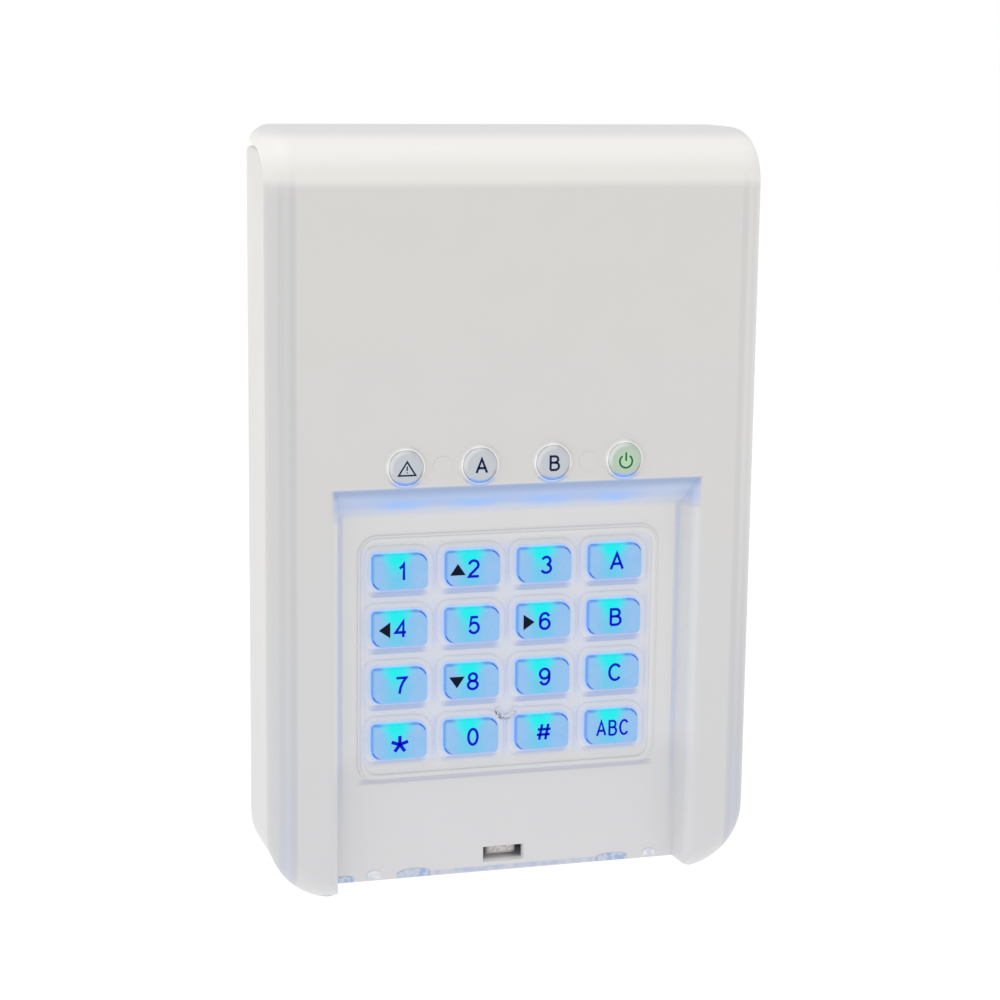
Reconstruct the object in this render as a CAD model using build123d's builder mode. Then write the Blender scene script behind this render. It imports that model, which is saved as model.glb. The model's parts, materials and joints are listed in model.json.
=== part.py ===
from build123d import *
import math
import os

# Alarm keypad panel for a wall: a shallow rear tray is screwed to the wall, and a frosted front
# cover hangs from two pins along its top edge.  The cover carries the circuit board, a 4 x 4 field
# of lit keys in an open-bottomed recess, and four indicator lenses above them.
#
# Millimetres.  The origin is the centre of the wall face, +Z is up, +X is to the right of someone
# facing the panel, and the front looks towards -Y.  A "depth" is a distance out from the wall.

# ---- driving dimensions -------------------------------------------------------------------------
HEIGHT = 170.0
COVER_WIDTH = 111.6
FACE_DEPTH = 27.0
RECESS_DEPTH = 20.3
WALL = 2.0
GAP = 0.25

TOP_ROUND = 12.0
SIDE_ROUND = 5.0
FOOT_ROUND = 15.0
FOOT_SLOPE = 4.6
TOP_WALL = 3.2
FACE_BACK = FACE_DEPTH - WALL
FLOOR_BACK = RECESS_DEPTH - WALL

BASE_WIDTH = 111.0
BASE_TOP = 80.3
BASE_BOTTOM = -83.0
BASE_RIM = 20.2
BASE_FLOOR = 2.5
BASE_WALL = 2.2
BASE_SHOULDER = 9.5
BASE_CORNER = 1.2
BASE_FOOT_ROUND = FOOT_ROUND - 3.0

HINGE_DEPTH = 2.1
HINGE_Z = HEIGHT / 2 - TOP_WALL / 2
HINGE_X = 32.0
KNUCKLE_WIDTH = 8.0
PIN_RADIUS = 0.9

RECESS_WIDTH = 80.0
RECESS_TOP = 0.9
LEDGE_SLOPE = 1.0
CHEEK_SLOPE = 0.16
MOUTH_ROUND = 2.2
LEDGE_ROUND = 0.8
FLOOR_ROUND = 0.8
LIP_ANGLES = [0, 20, 40, 60, 75, 87]
COLLAR_ANGLES = [0, 20, 40, 60, 80]

COLUMN_PITCH = 16.65
ROW_PITCH = 12.9
FIELD_X = -1.2
FIELD_Z = -31.0
KEY_WIDTH = 12.7
KEY_HEIGHT = 8.2
KEY_TOP = RECESS_DEPTH + 2.1
KEY_FLANGE = 0.9
COLLAR_WIDTH = 1.75
COLLAR_PROUD = 0.5
COLLAR_ROUND = 1.0
PLATEAU_WIDTH = 70.0
PLATEAU_HEIGHT = 56.2
PLATEAU_CORNER = 4.5
PLATEAU_PROUD = 0.45
PLATEAU_DEPTH = RECESS_DEPTH + PLATEAU_PROUD
PLATEAU_RIM = 0.3
PLATEAU_X = FIELD_X + 0.8
PLATEAU_Z = FIELD_Z - 0.7

LENS_Z = 12.4
LENS_RADIUS = 3.8
LENS_PROUD = 1.1

SLOT_X = -1.1
SLOT_Z = -79.0
SLOT_WIDTH = 9.6
SLOT_HEIGHT = 3.6
LATCH_WIDTH = 6.8
LATCH_PIVOT_DEPTH = 3.9

BOARD_WIDTH = 96.0
BOARD_TOP = 64.0
BOARD_BOTTOM = -73.0
BOARD_BACK = 12.8
BOARD_THICK = 1.6
BOARD_FRONT = BOARD_BACK + BOARD_THICK
MAT_BACK = BOARD_FRONT + 0.4
MAT_FRONT = MAT_BACK + 0.9
DOME_TOP = MAT_FRONT + 0.5

COLUMNS = [FIELD_X + (i - 1.5) * COLUMN_PITCH for i in range(4)]
ROWS = [FIELD_Z + (1.5 - i) * ROW_PITCH for i in range(4)]
FIELD = [(x, z) for z in ROWS for x in COLUMNS]
KEY_NAMES = [
    "key_1", "key_2", "key_3", "key_a",
    "key_4", "key_5", "key_6", "key_b",
    "key_7", "key_8", "key_9", "key_c",
    "key_star", "key_0", "key_hash", "key_abc",
]
LENS_NAMES = ["lens_warning", "lens_a", "lens_b", "lens_power"]
LENS_SPOTS = [(x, LENS_Z) for x in COLUMNS]
KEY_LED_SPOTS = [(x, z + 5.7) for x, z in FIELD]

FLOOR_POSTS = [(-38, -3), (38, -3), (-38, -67), (38, -67)]
FACE_POSTS = [(-40, 56), (40, 56)]
POST_RADIUS = 2.5
WALL_HOLES = [(-35, 55), (35, 55), (-35, -60), (35, -60)]
TAMPER_SPOT = (-24, 34)
SOUNDER_SPOT = (24, 34)
TERMINAL_SPOT = (0, -46)
TERMINAL_COUNT = 6
TERMINAL_PITCH = 5.0

os.makedirs("parts", exist_ok=True)


def facing(depth):
    """A plane parallel to the wall, this far out from it, whose normal looks out of the wall."""
    return Plane.XZ.offset(depth)


def save(piece, name):
    piece.part.label = name
    export_step(piece.part, f"parts/{name}.step")


def key_outline(grow=0.0):
    """A key's face: tight corners top left and bottom right, wide ones at the other two."""
    half_w = KEY_WIDTH / 2 + grow
    half_h = KEY_HEIGHT / 2 + grow
    tight = 1.1 + grow
    wide = 2.6 + grow
    with BuildSketch() as outline:
        with BuildLine():
            FilletPolyline(
                (-half_w, half_h), (half_w, half_h), (half_w, -half_h), (-half_w, -half_h),
                radius=[tight, wide, tight, wide],
                close=True,
            )
        make_face()
    return outline.sketch


def key_section(depth, grow):
    """A key's outline, that much larger all round, at one depth."""
    with BuildSketch(facing(depth)) as section:
        add(key_outline(grow))
    return section.sketch


def recess_section(depth, widen=0.0, lift=0.0):
    """The recess opening at one depth; its ledge and cheeks lean outwards towards the front."""
    out = depth - RECESS_DEPTH
    half_w = RECESS_WIDTH / 2 + out * CHEEK_SLOPE + widen
    top = RECESS_TOP + out * LEDGE_SLOPE + lift
    with BuildSketch(facing(depth)) as section:
        with Locations((0, (top - HEIGHT) / 2)):
            Rectangle(2 * half_w, top + HEIGHT)
    return section.sketch


# ---- rear tray, fixed to the wall ---------------------------------------------------------------
with BuildPart() as rear_base:
    with BuildSketch(facing(0)):
        with Locations((0, (BASE_TOP + BASE_BOTTOM) / 2)):
            Rectangle(BASE_WIDTH, BASE_TOP - BASE_BOTTOM)
    extrude(amount=BASE_RIM)
    fillet(rear_base.edges().filter_by(Axis.Y).group_by(Axis.Z)[0], BASE_FOOT_ROUND)
    fillet(rear_base.edges().filter_by(Axis.Y).group_by(Axis.Z)[-1], BASE_CORNER)
    # the shoulder that the cover's skirt curls round
    with BuildSketch(Plane.YZ) as base_side:
        with Locations((-BASE_RIM / 2, (BASE_TOP + BASE_BOTTOM) / 2)):
            Rectangle(BASE_RIM, BASE_TOP - BASE_BOTTOM)
        fillet(base_side.vertices().sort_by_distance((-BASE_RIM, BASE_TOP))[0], BASE_SHOULDER)
    extrude(amount=BASE_WIDTH, both=True, mode=Mode.INTERSECT)
    with BuildSketch(facing(BASE_FLOOR)):
        with Locations((0, (BASE_TOP + BASE_BOTTOM) / 2)):
            RectangleRounded(
                BASE_WIDTH - 2 * BASE_WALL,
                BASE_TOP - BASE_BOTTOM - 2 * BASE_WALL,
                BASE_FOOT_ROUND - BASE_WALL,
            )
    extrude(amount=BASE_RIM, mode=Mode.SUBTRACT)
    # the lower wall steps back behind the recess floor
    with BuildSketch(facing(FLOOR_BACK - GAP)):
        with Locations((0, BASE_BOTTOM)):
            Rectangle(RECESS_WIDTH + 2 * WALL + 2, 4 * BASE_WALL)
    extrude(amount=BASE_WALL * 2, mode=Mode.SUBTRACT)
    # raised lands round the wall screws, floor ribs, and the post that holds the tamper plunger in
    with BuildSketch(facing(BASE_FLOOR)):
        with Locations(*WALL_HOLES):
            Circle(5.5)
    extrude(amount=1.2)
    with BuildSketch(facing(BASE_FLOOR)):
        with Locations((0, 40), (0, -30)):
            Rectangle(88, 1.4)
        with Locations((-44, 3), (44, 3)):
            Rectangle(1.4, 128)
    extrude(amount=1.6)
    with BuildSketch(facing(BASE_FLOOR)):
        with Locations(TAMPER_SPOT):
            Circle(3.2)
    extrude(amount=3.3)
    with BuildSketch(facing(0)):
        with Locations(*WALL_HOLES):
            Circle(2.2)
        with Locations((0, -12)):
            RectangleRounded(30, 16, 2.5)
    extrude(amount=5, mode=Mode.SUBTRACT)
    # cheeks that carry the latch lever's trunnions
    with BuildSketch(facing(BASE_FLOOR - 0.5)):
        with Locations(*[(SLOT_X + side * (LATCH_WIDTH / 2 + 1.2), SLOT_Z) for side in (-1, 1)]):
            Rectangle(2.0, 3.4)
    extrude(amount=4.0)
    with BuildSketch(Plane.YZ.offset(SLOT_X)):
        with Locations((-LATCH_PIVOT_DEPTH, SLOT_Z)):
            Circle(0.85)
    extrude(amount=LATCH_WIDTH, both=True, mode=Mode.SUBTRACT)
    # hinge knuckles on the top wall, open towards the upper front so that the pins snap in
    for side in (-1, 1):
        with BuildSketch(Plane.YZ.offset(side * HINGE_X)):
            with Locations((-HINGE_DEPTH, HINGE_Z)):
                Circle(TOP_WALL / 2)
            with Locations((-HINGE_DEPTH, (HINGE_Z + BASE_TOP - 1) / 2)):
                Rectangle(TOP_WALL, HINGE_Z - BASE_TOP + 1)
            with Locations((-HINGE_DEPTH, HINGE_Z)):
                Circle(PIN_RADIUS + 0.15, mode=Mode.SUBTRACT)
            with Locations(Location((-HINGE_DEPTH - 1, HINGE_Z + 1), 45)):
                Rectangle(1.5, TOP_WALL, mode=Mode.SUBTRACT)
        extrude(amount=KNUCKLE_WIDTH / 2, both=True)
save(rear_base, "rear_base")

# ---- latch lever, whose tip waits behind the slot under the keys --------------------------------
with BuildPart() as latch_lever:
    with BuildSketch(Plane.YZ.offset(SLOT_X)):
        with BuildLine():
            Polyline(
                (-LATCH_PIVOT_DEPTH, SLOT_Z - 1.0),
                (-17.2, SLOT_Z - 1.0),
                (-17.9, SLOT_Z - 0.3),
                (-17.9, SLOT_Z + 0.9),
                (-16.2, SLOT_Z + 2.4),
                (-15.0, SLOT_Z + 2.4),
                (-15.0, SLOT_Z + 0.7),
                (-LATCH_PIVOT_DEPTH, SLOT_Z + 1.0),
                close=True,
            )
        make_face()
        with Locations((-LATCH_PIVOT_DEPTH, SLOT_Z)):
            Circle(1.0)
    extrude(amount=LATCH_WIDTH / 2, both=True)
    with BuildSketch(Plane.YZ.offset(SLOT_X)):
        with Locations((-LATCH_PIVOT_DEPTH, SLOT_Z)):
            Circle(0.6)
    extrude(amount=LATCH_WIDTH / 2 + 1.8, both=True)
save(latch_lever, "latch_lever")

# ---- front cover --------------------------------------------------------------------------------
# the recess, with a soft lip round its mouth and a soft corner where its walls meet its floor
with BuildPart() as recess_pocket:
    add(recess_section(RECESS_DEPTH))
    for angle in LIP_ANGLES:
        inwards = 1 - math.sin(math.radians(angle))
        outwards = 1 - math.cos(math.radians(angle))
        lip_depth = FACE_DEPTH - MOUTH_ROUND * inwards
        add(recess_section(lip_depth, MOUTH_ROUND * outwards, LEDGE_ROUND * outwards))
    add(recess_section(FACE_DEPTH + 1, 2 * MOUTH_ROUND, 2 * LEDGE_ROUND))
    loft(ruled=True)
    floor_edges = recess_pocket.faces().sort_by(Axis.Y)[-1].edges()
    fillet(floor_edges.filter_by(lambda edge: edge.center().Z > BASE_BOTTOM), FLOOR_ROUND)

with BuildPart() as recess_back:
    add(recess_section(FLOOR_BACK, WALL, WALL))
    add(recess_section(FACE_DEPTH + 1, WALL, WALL))
    loft()

with BuildPart() as cover_cavity:
    with BuildSketch(Plane.YZ) as cavity_side:
        with Locations((1 - FACE_BACK / 2, -TOP_WALL / 2 + WALL / 2)):
            Rectangle(FACE_BACK + 2, HEIGHT - TOP_WALL - WALL)
        fillet(cavity_side.vertices().sort_by_distance((-FACE_BACK, HEIGHT / 2))[0], TOP_ROUND - TOP_WALL)
    extrude(amount=COVER_WIDTH / 2 - WALL, both=True)
    fillet(cover_cavity.edges().filter_by(Axis.Y).group_by(Axis.Z)[0], FOOT_ROUND - WALL)
    add(recess_back.part, mode=Mode.SUBTRACT)

# everything behind the cover's skirt, which leaves room for the tray and its round shoulder
with BuildPart() as tray_room:
    with BuildSketch(Plane.YZ) as room_side:
        with BuildLine():
            Polyline(
                (-BASE_RIM - GAP, -HEIGHT),
                (-BASE_RIM - GAP, BASE_TOP + GAP),
                (BASE_SHOULDER - BASE_RIM, BASE_TOP + GAP),
                (-HINGE_DEPTH, HEIGHT / 2 - TOP_WALL),
                (WALL, HEIGHT / 2 - TOP_WALL),
                (WALL, -HEIGHT),
                close=True,
            )
        make_face()
        fillet(
            room_side.vertices().sort_by_distance((-BASE_RIM, BASE_TOP))[0],
            BASE_SHOULDER,
        )
    extrude(amount=COVER_WIDTH, both=True)
    add(recess_back.part, mode=Mode.SUBTRACT)

# a soft cushion of plastic round each key: its sides curve over towards the key
with BuildPart() as collar:
    add(key_section(PLATEAU_DEPTH - 0.2, COLLAR_WIDTH))
    for angle in COLLAR_ANGLES:
        rise = COLLAR_PROUD * math.sin(math.radians(angle))
        inwards = COLLAR_ROUND * (1 - math.cos(math.radians(angle)))
        add(key_section(PLATEAU_DEPTH + rise, COLLAR_WIDTH - inwards))
    loft(ruled=True)

# the keypad's plateau, with a low rounded rim
with BuildPart() as plateau:
    with BuildSketch(facing(RECESS_DEPTH - 0.3)):
        with Locations((PLATEAU_X, PLATEAU_Z)):
            RectangleRounded(PLATEAU_WIDTH, PLATEAU_HEIGHT, PLATEAU_CORNER)
    extrude(amount=PLATEAU_PROUD + 0.3)
    fillet(plateau.faces().sort_by(Axis.Y)[0].edges(), PLATEAU_PROUD - 0.1)
    with BuildSketch(facing(PLATEAU_DEPTH - 0.3)):
        with Locations((PLATEAU_X, PLATEAU_Z)):
            RectangleRounded(PLATEAU_WIDTH - 1.2, PLATEAU_HEIGHT - 1.2, PLATEAU_CORNER - 0.6)
            RectangleRounded(
                PLATEAU_WIDTH - 3.4, PLATEAU_HEIGHT - 3.4, PLATEAU_CORNER - 1.7, mode=Mode.SUBTRACT
            )
    extrude(amount=PLATEAU_RIM + 0.3)
    fillet(plateau.faces().sort_by(Axis.Y)[0].edges(), PLATEAU_RIM - 0.05)

with BuildPart() as front_cover:
    with BuildSketch(Plane.YZ) as cover_side:
        with Locations((-(FACE_DEPTH + HINGE_DEPTH) / 2, 0)):
            Rectangle(FACE_DEPTH - HINGE_DEPTH, HEIGHT)
        fillet(cover_side.vertices().sort_by_distance((-FACE_DEPTH, HEIGHT / 2))[0], TOP_ROUND)
    extrude(amount=COVER_WIDTH / 2, both=True)
    fillet(front_cover.edges().filter_by(Axis.Y).group_by(Axis.Z)[0], FOOT_ROUND)
    # one soft round down both sides, under the feet and over the top corners
    round_start = HEIGHT / 2 - TOP_ROUND
    face_edges = front_cover.faces().sort_by(Axis.Y)[0].edges()
    top_edges = front_cover.faces().sort_by(Axis.Z)[-1].edges().filter_by(Axis.Y)
    arcs = front_cover.edges().filter_by(GeomType.CIRCLE)
    fillet(
        face_edges.filter_by(lambda edge: edge.center().Z < round_start - 1)
        + arcs.filter_by(lambda edge: edge.center().Z > round_start)
        + top_edges,
        SIDE_ROUND,
    )
    add(tray_room.part, mode=Mode.SUBTRACT)
    add(cover_cavity.part, mode=Mode.SUBTRACT)
    add(recess_pocket.part, mode=Mode.SUBTRACT)
    # the recess floor ends a little above the two feet
    with BuildSketch(facing(FLOOR_BACK - 1)):
        with Locations((0, (BASE_BOTTOM - HEIGHT / 2 - 2) / 2)):
            Rectangle(RECESS_WIDTH, HEIGHT / 2 + BASE_BOTTOM + 2)
    extrude(amount=FACE_DEPTH, mode=Mode.SUBTRACT)
    # the feet slope up to that edge
    with BuildSketch(facing(FLOOR_BACK - 1)):
        for side in (-1, 1):
            with BuildLine():
                Polyline(
                    (side * (RECESS_WIDTH / 2 - 0.1), BASE_BOTTOM),
                    (side * (RECESS_WIDTH / 2 + FOOT_SLOPE), -HEIGHT / 2 - 0.1),
                    (side * (RECESS_WIDTH / 2 - 0.1), -HEIGHT / 2 - 0.1),
                    close=True,
                )
            make_face()
    extrude(amount=FACE_DEPTH, mode=Mode.SUBTRACT)
    # locating lips inside the tray's side walls
    with BuildSketch(facing(BASE_RIM - 2.7)):
        with Locations(*[(side * (BASE_WIDTH / 2 - BASE_WALL - 1.0), -6) for side in (-1, 1)]):
            Rectangle(1.4, 128)
    extrude(amount=FACE_BACK - BASE_RIM + 3.0)
    # keypad plateau, and a collar round each key
    add(plateau.part)
    with Locations(*[(x, 0, z) for x, z in FIELD]):
        add(collar.part)
    # small thumb-nail ridge between the four keys of the lower rows
    with BuildSketch(facing(RECESS_DEPTH)):
        with Locations((FIELD_X, ROWS[3] + 5.9)):
            Circle(2.4)
            Circle(1.7, mode=Mode.SUBTRACT)
            with Locations((0, 1.5)):
                Rectangle(6, 3, mode=Mode.SUBTRACT)
    extrude(amount=PLATEAU_PROUD + COLLAR_PROUD + 0.3)
    with BuildSketch(facing(FLOOR_BACK - 1)):
        with Locations(*FIELD):
            add(key_outline(grow=GAP))
        with Locations((SLOT_X, SLOT_Z)):
            Rectangle(SLOT_WIDTH, SLOT_HEIGHT)
    extrude(amount=6, mode=Mode.SUBTRACT)
    # rings round the lenses, and two flush moulding marks between them
    with BuildSketch(facing(FACE_DEPTH - 0.5)):
        with Locations(*LENS_SPOTS):
            Circle(LENS_RADIUS + 0.7)
    extrude(amount=0.75)
    with BuildSketch(facing(FACE_DEPTH - 0.5)):
        with Locations((COLUMNS[0] + COLUMN_PITCH / 2, LENS_Z), (COLUMNS[3] - COLUMN_PITCH / 2, LENS_Z)):
            Circle(2.2)
    extrude(amount=0.6)
    with BuildSketch(facing(FACE_BACK - 1)):
        with Locations(*LENS_SPOTS):
            Circle(LENS_RADIUS + 0.15)
    extrude(amount=6, mode=Mode.SUBTRACT)
    # posts that the circuit board is screwed to
    with BuildSketch(facing(BOARD_FRONT)):
        with Locations(*FLOOR_POSTS):
            Circle(POST_RADIUS)
    extrude(amount=FLOOR_BACK - BOARD_FRONT + 0.5)
    with BuildSketch(facing(BOARD_FRONT)):
        with Locations(*FACE_POSTS):
            Circle(POST_RADIUS)
    extrude(amount=FACE_BACK - BOARD_FRONT + 0.5)
    with BuildSketch(facing(BOARD_FRONT)):
        with Locations(*FLOOR_POSTS, *FACE_POSTS):
            Circle(1.0)
    extrude(amount=3.6, mode=Mode.SUBTRACT)
    # round nose along the top wall's rear edge, notched for the knuckles, with a pin in each notch
    with BuildSketch(Plane.YZ):
        with Locations((-HINGE_DEPTH, HINGE_Z)):
            Circle(TOP_WALL / 2)
    extrude(amount=COVER_WIDTH / 2 - SIDE_ROUND, both=True)
    with BuildSketch(Plane.XY.offset(BASE_TOP - 1)):
        with Locations(*[(side * HINGE_X, -HINGE_DEPTH) for side in (-1, 1)]):
            Rectangle(KNUCKLE_WIDTH + 0.6, TOP_WALL + 1)
    extrude(amount=8, mode=Mode.SUBTRACT)
    for side in (-1, 1):
        with BuildSketch(Plane.YZ.offset(side * HINGE_X)):
            with Locations((-HINGE_DEPTH, HINGE_Z)):
                Circle(PIN_RADIUS)
        extrude(amount=KNUCKLE_WIDTH / 2 + 0.6, both=True)
save(front_cover, "front_cover")

# ---- keys: caps that slide in the collars, kept in by a flange behind the cover -----------------
for name, (x, z) in zip(KEY_NAMES, FIELD):
    with BuildPart() as key:
        with BuildSketch(facing(FLOOR_BACK - 0.2)):
            with Locations((x, z)):
                add(key_outline())
        extrude(amount=KEY_TOP - FLOOR_BACK + 0.2)
        fillet(key.faces().sort_by(Axis.Y)[0].edges(), 0.5)
        with BuildSketch(facing(FLOOR_BACK - 0.15 - KEY_FLANGE)):
            with Locations((x, z)):
                RectangleRounded(KEY_WIDTH + 1.6, KEY_HEIGHT + 1.6, 1.8)
        extrude(amount=KEY_FLANGE)
        with BuildSketch(facing(FLOOR_BACK - 0.15 - KEY_FLANGE)):
            with Locations((x, z)):
                RectangleRounded(KEY_WIDTH - 2.4, KEY_HEIGHT - 2.4, 1.2)
                Circle(2.3, mode=Mode.SUBTRACT)
        extrude(amount=3.2, mode=Mode.SUBTRACT)
    save(key, name)

with BuildPart() as keypad_mat:
    with BuildSketch(facing(MAT_BACK)):
        with Locations((FIELD_X, FIELD_Z + 0.6)):
            RectangleRounded(68, 55, 2)
        with Locations(*KEY_LED_SPOTS):
            Rectangle(3.4, 1.8, mode=Mode.SUBTRACT)
    extrude(amount=MAT_FRONT - MAT_BACK)
    with BuildSketch(facing(MAT_FRONT)):
        with Locations(*FIELD):
            Circle(3.2)
    extrude(amount=DOME_TOP - MAT_FRONT, taper=35)
save(keypad_mat, "keypad_mat")

with BuildPart() as contact_pads:
    with BuildSketch(facing(BOARD_FRONT)):
        with Locations(*FIELD):
            Circle(2.2)
    extrude(amount=MAT_BACK - BOARD_FRONT)
save(contact_pads, "contact_pads")

with BuildPart() as key_leds:
    with BuildSketch(facing(BOARD_FRONT)):
        with Locations(*KEY_LED_SPOTS):
            Rectangle(2.6, 1.1)
    extrude(amount=0.9)
    fillet(key_leds.edges().filter_by(Axis.Y), 0.2)
save(key_leds, "key_leds")

# ---- indicators ---------------------------------------------------------------------------------
for name, (x, z) in zip(LENS_NAMES, LENS_SPOTS):
    with BuildPart() as lens:
        with BuildSketch(facing(FACE_BACK - 0.9)):
            with Locations((x, z)):
                Circle(LENS_RADIUS + 0.9)
        extrude(amount=0.85)
        with BuildSketch(facing(FACE_BACK - 0.9)):
            with Locations((x, z)):
                Circle(LENS_RADIUS)
        extrude(amount=FACE_DEPTH + LENS_PROUD - FACE_BACK + 0.9)
        fillet(lens.faces().sort_by(Axis.Y)[0].edges(), 0.9)
        with BuildSketch(facing(FACE_BACK - 0.9)):
            with Locations((x, z)):
                Circle(2.3)
        extrude(amount=-3.6)
    save(lens, name)

with BuildPart() as led_shroud:
    with BuildSketch(facing(BOARD_FRONT)):
        with Locations((FIELD_X, LENS_Z)):
            RectangleRounded(60, 10.4, 1.5)
        with Locations(*LENS_SPOTS):
            Circle(2.6, mode=Mode.SUBTRACT)
    extrude(amount=9.4)
save(led_shroud, "led_shroud")

with BuildPart() as indicator_leds:
    with BuildSketch(facing(BOARD_FRONT)):
        with Locations(*LENS_SPOTS):
            Circle(1.9)
    extrude(amount=1.0)
    with BuildSketch(facing(BOARD_FRONT)):
        with Locations(*LENS_SPOTS):
            Circle(1.5)
    extrude(amount=4.6)
    fillet(indicator_leds.edges().group_by(Axis.Y)[0], 1.2)
save(indicator_leds, "indicator_leds")

# ---- circuit board and what is soldered to its back ---------------------------------------------
with BuildPart() as circuit_board:
    with BuildSketch(facing(BOARD_BACK)):
        with Locations((0, (BOARD_TOP + BOARD_BOTTOM) / 2)):
            RectangleRounded(BOARD_WIDTH, BOARD_TOP - BOARD_BOTTOM, 2.5)
        with Locations(*FLOOR_POSTS, *FACE_POSTS):
            Circle(1.2, mode=Mode.SUBTRACT)
    extrude(amount=BOARD_THICK)
save(circuit_board, "circuit_board")

with BuildPart() as board_screws:
    with BuildSketch(facing(BOARD_BACK)):
        with Locations(*FLOOR_POSTS, *FACE_POSTS):
            Circle(2.1)
    extrude(amount=-1.4)
    fillet(board_screws.edges().group_by(Axis.Y)[-1], 0.5)
    with BuildSketch(facing(BOARD_BACK - 1.5)):
        with Locations(*FLOOR_POSTS, *FACE_POSTS):
            Rectangle(2.2, 0.55)
            Rectangle(0.55, 2.2)
    extrude(amount=0.9, mode=Mode.SUBTRACT)
    with BuildSketch(facing(BOARD_BACK)):
        with Locations(*FLOOR_POSTS, *FACE_POSTS):
            Circle(0.95)
    extrude(amount=BOARD_THICK + 3.2)
save(board_screws, "board_screws")

with BuildPart() as terminal_block:
    with BuildSketch(facing(BOARD_BACK)):
        with Locations(TERMINAL_SPOT):
            Rectangle(TERMINAL_COUNT * TERMINAL_PITCH + 1.2, 8.0)
    extrude(amount=-7.6)
    chamfer(terminal_block.edges().filter_by(Axis.X).group_by(Axis.Y)[-1].sort_by(Axis.Z)[-1], 1.6)
    with BuildSketch(facing(BOARD_BACK - 7.7)):
        with Locations(TERMINAL_SPOT):
            with GridLocations(TERMINAL_PITCH, 1, TERMINAL_COUNT, 1):
                Circle(1.9)
    extrude(amount=1.9, mode=Mode.SUBTRACT)
    with BuildSketch(Plane.XY.offset(TERMINAL_SPOT[1] + 4.1)):
        with Locations((0, 2.6 - BOARD_BACK)):
            with GridLocations(TERMINAL_PITCH, 1, TERMINAL_COUNT, 1):
                Rectangle(3.4, 2.8)
    extrude(amount=-4.5, mode=Mode.SUBTRACT)
save(terminal_block, "terminal_block")

with BuildPart() as terminal_screws:
    with BuildSketch(facing(BOARD_BACK - 5.8)):
        with Locations(TERMINAL_SPOT):
            with GridLocations(TERMINAL_PITCH, 1, TERMINAL_COUNT, 1):
                Circle(1.7)
    extrude(amount=-1.2)
    with BuildSketch(facing(BOARD_BACK - 7.1)):
        with Locations(TERMINAL_SPOT):
            with GridLocations(TERMINAL_PITCH, 1, TERMINAL_COUNT, 1):
                Rectangle(2.8, 0.6)
    extrude(amount=0.7, mode=Mode.SUBTRACT)
save(terminal_screws, "terminal_screws")

with BuildPart() as sounder:
    with BuildSketch(facing(BOARD_BACK)):
        with Locations(SOUNDER_SPOT):
            Circle(11.5)
    extrude(amount=-5.5)
    fillet(sounder.edges().group_by(Axis.Y)[-1], 0.8)
    with BuildSketch(facing(BOARD_BACK - 6)):
        with Locations(SOUNDER_SPOT):
            Circle(1.6)
    extrude(amount=2.4, mode=Mode.SUBTRACT)
save(sounder, "sounder")

with BuildPart() as tamper_switch:
    with BuildSketch(facing(BOARD_BACK)):
        with Locations(TAMPER_SPOT):
            RectangleRounded(7.6, 7.6, 0.6)
    extrude(amount=-4.0)
    with BuildSketch(facing(BOARD_BACK - 4.5)):
        with Locations(TAMPER_SPOT):
            Circle(1.85)
    extrude(amount=3.7, mode=Mode.SUBTRACT)
save(tamper_switch, "tamper_switch")

with BuildPart() as tamper_plunger:
    with BuildSketch(facing(BOARD_BACK - 1.1)):
        with Locations(TAMPER_SPOT):
            Circle(1.6)
    extrude(amount=-5.5)
    fillet(tamper_plunger.edges().group_by(Axis.Y)[-1], 0.5)
save(tamper_plunger, "tamper_plunger")

with BuildPart() as controller_chip:
    with BuildSketch(facing(BOARD_BACK - 0.1)):
        with Locations((0, 10)):
            Rectangle(10, 10)
    extrude(amount=-1.4)
    chamfer(controller_chip.edges().group_by(Axis.Y)[-1], 0.2)
    with BuildSketch(facing(BOARD_BACK)):
        with Locations((0, 10)):
            with GridLocations(0.8, 11.2, 11, 2):
                Rectangle(0.4, 1.4)
            with GridLocations(11.2, 0.8, 2, 11):
                Rectangle(1.4, 0.4)
    extrude(amount=-0.7)
save(controller_chip, "controller_chip")

with BuildPart() as capacitors:
    with BuildSketch(facing(BOARD_BACK)):
        with Locations((-34, -28), (-34, -38)):
            Circle(3.15)
    extrude(amount=-7.0)
    fillet(capacitors.edges().group_by(Axis.Y)[-1], 0.5)
save(capacitors, "capacitors")

with BuildPart() as crystal:
    with BuildSketch(facing(BOARD_BACK)):
        with Locations((0, -1)):
            SlotOverall(10.8, 4.4)
    extrude(amount=-3.4)
    fillet(crystal.edges().group_by(Axis.Y)[-1], 0.4)
save(crystal, "crystal")

with BuildPart() as voltage_regulator:
    with BuildSketch(facing(BOARD_BACK)):
        with Locations((-33, -14)):
            Rectangle(6.6, 6.1)
    extrude(amount=-2.3)
    with BuildSketch(facing(BOARD_BACK)):
        with Locations((-33, -10)):
            Rectangle(5.2, 2.6)
        with Locations((-33, -18)):
            with GridLocations(2.3, 1, 3, 1):
                Rectangle(0.8, 3.0)
    extrude(amount=-0.6)
save(voltage_regulator, "voltage_regulator")

with BuildPart() as service_header:
    with BuildSketch(facing(BOARD_BACK)):
        with Locations((33, -32)):
            Rectangle(5.8, 14.0)
            Rectangle(4.2, 12.4, mode=Mode.SUBTRACT)
    extrude(amount=-6.0)
    with BuildSketch(facing(BOARD_BACK)):
        with Locations((33, -32)):
            Rectangle(5.8, 14.0)
    extrude(amount=-1.2)
    with BuildSketch(facing(BOARD_BACK)):
        with Locations((33, -32)):
            with GridLocations(1, 2.5, 1, 5):
                Rectangle(0.64, 0.64)
    extrude(amount=-5.2)
save(service_header, "service_header")
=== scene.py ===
import bmesh
import bpy
import json
import math
from mathutils import Matrix, Vector

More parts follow.
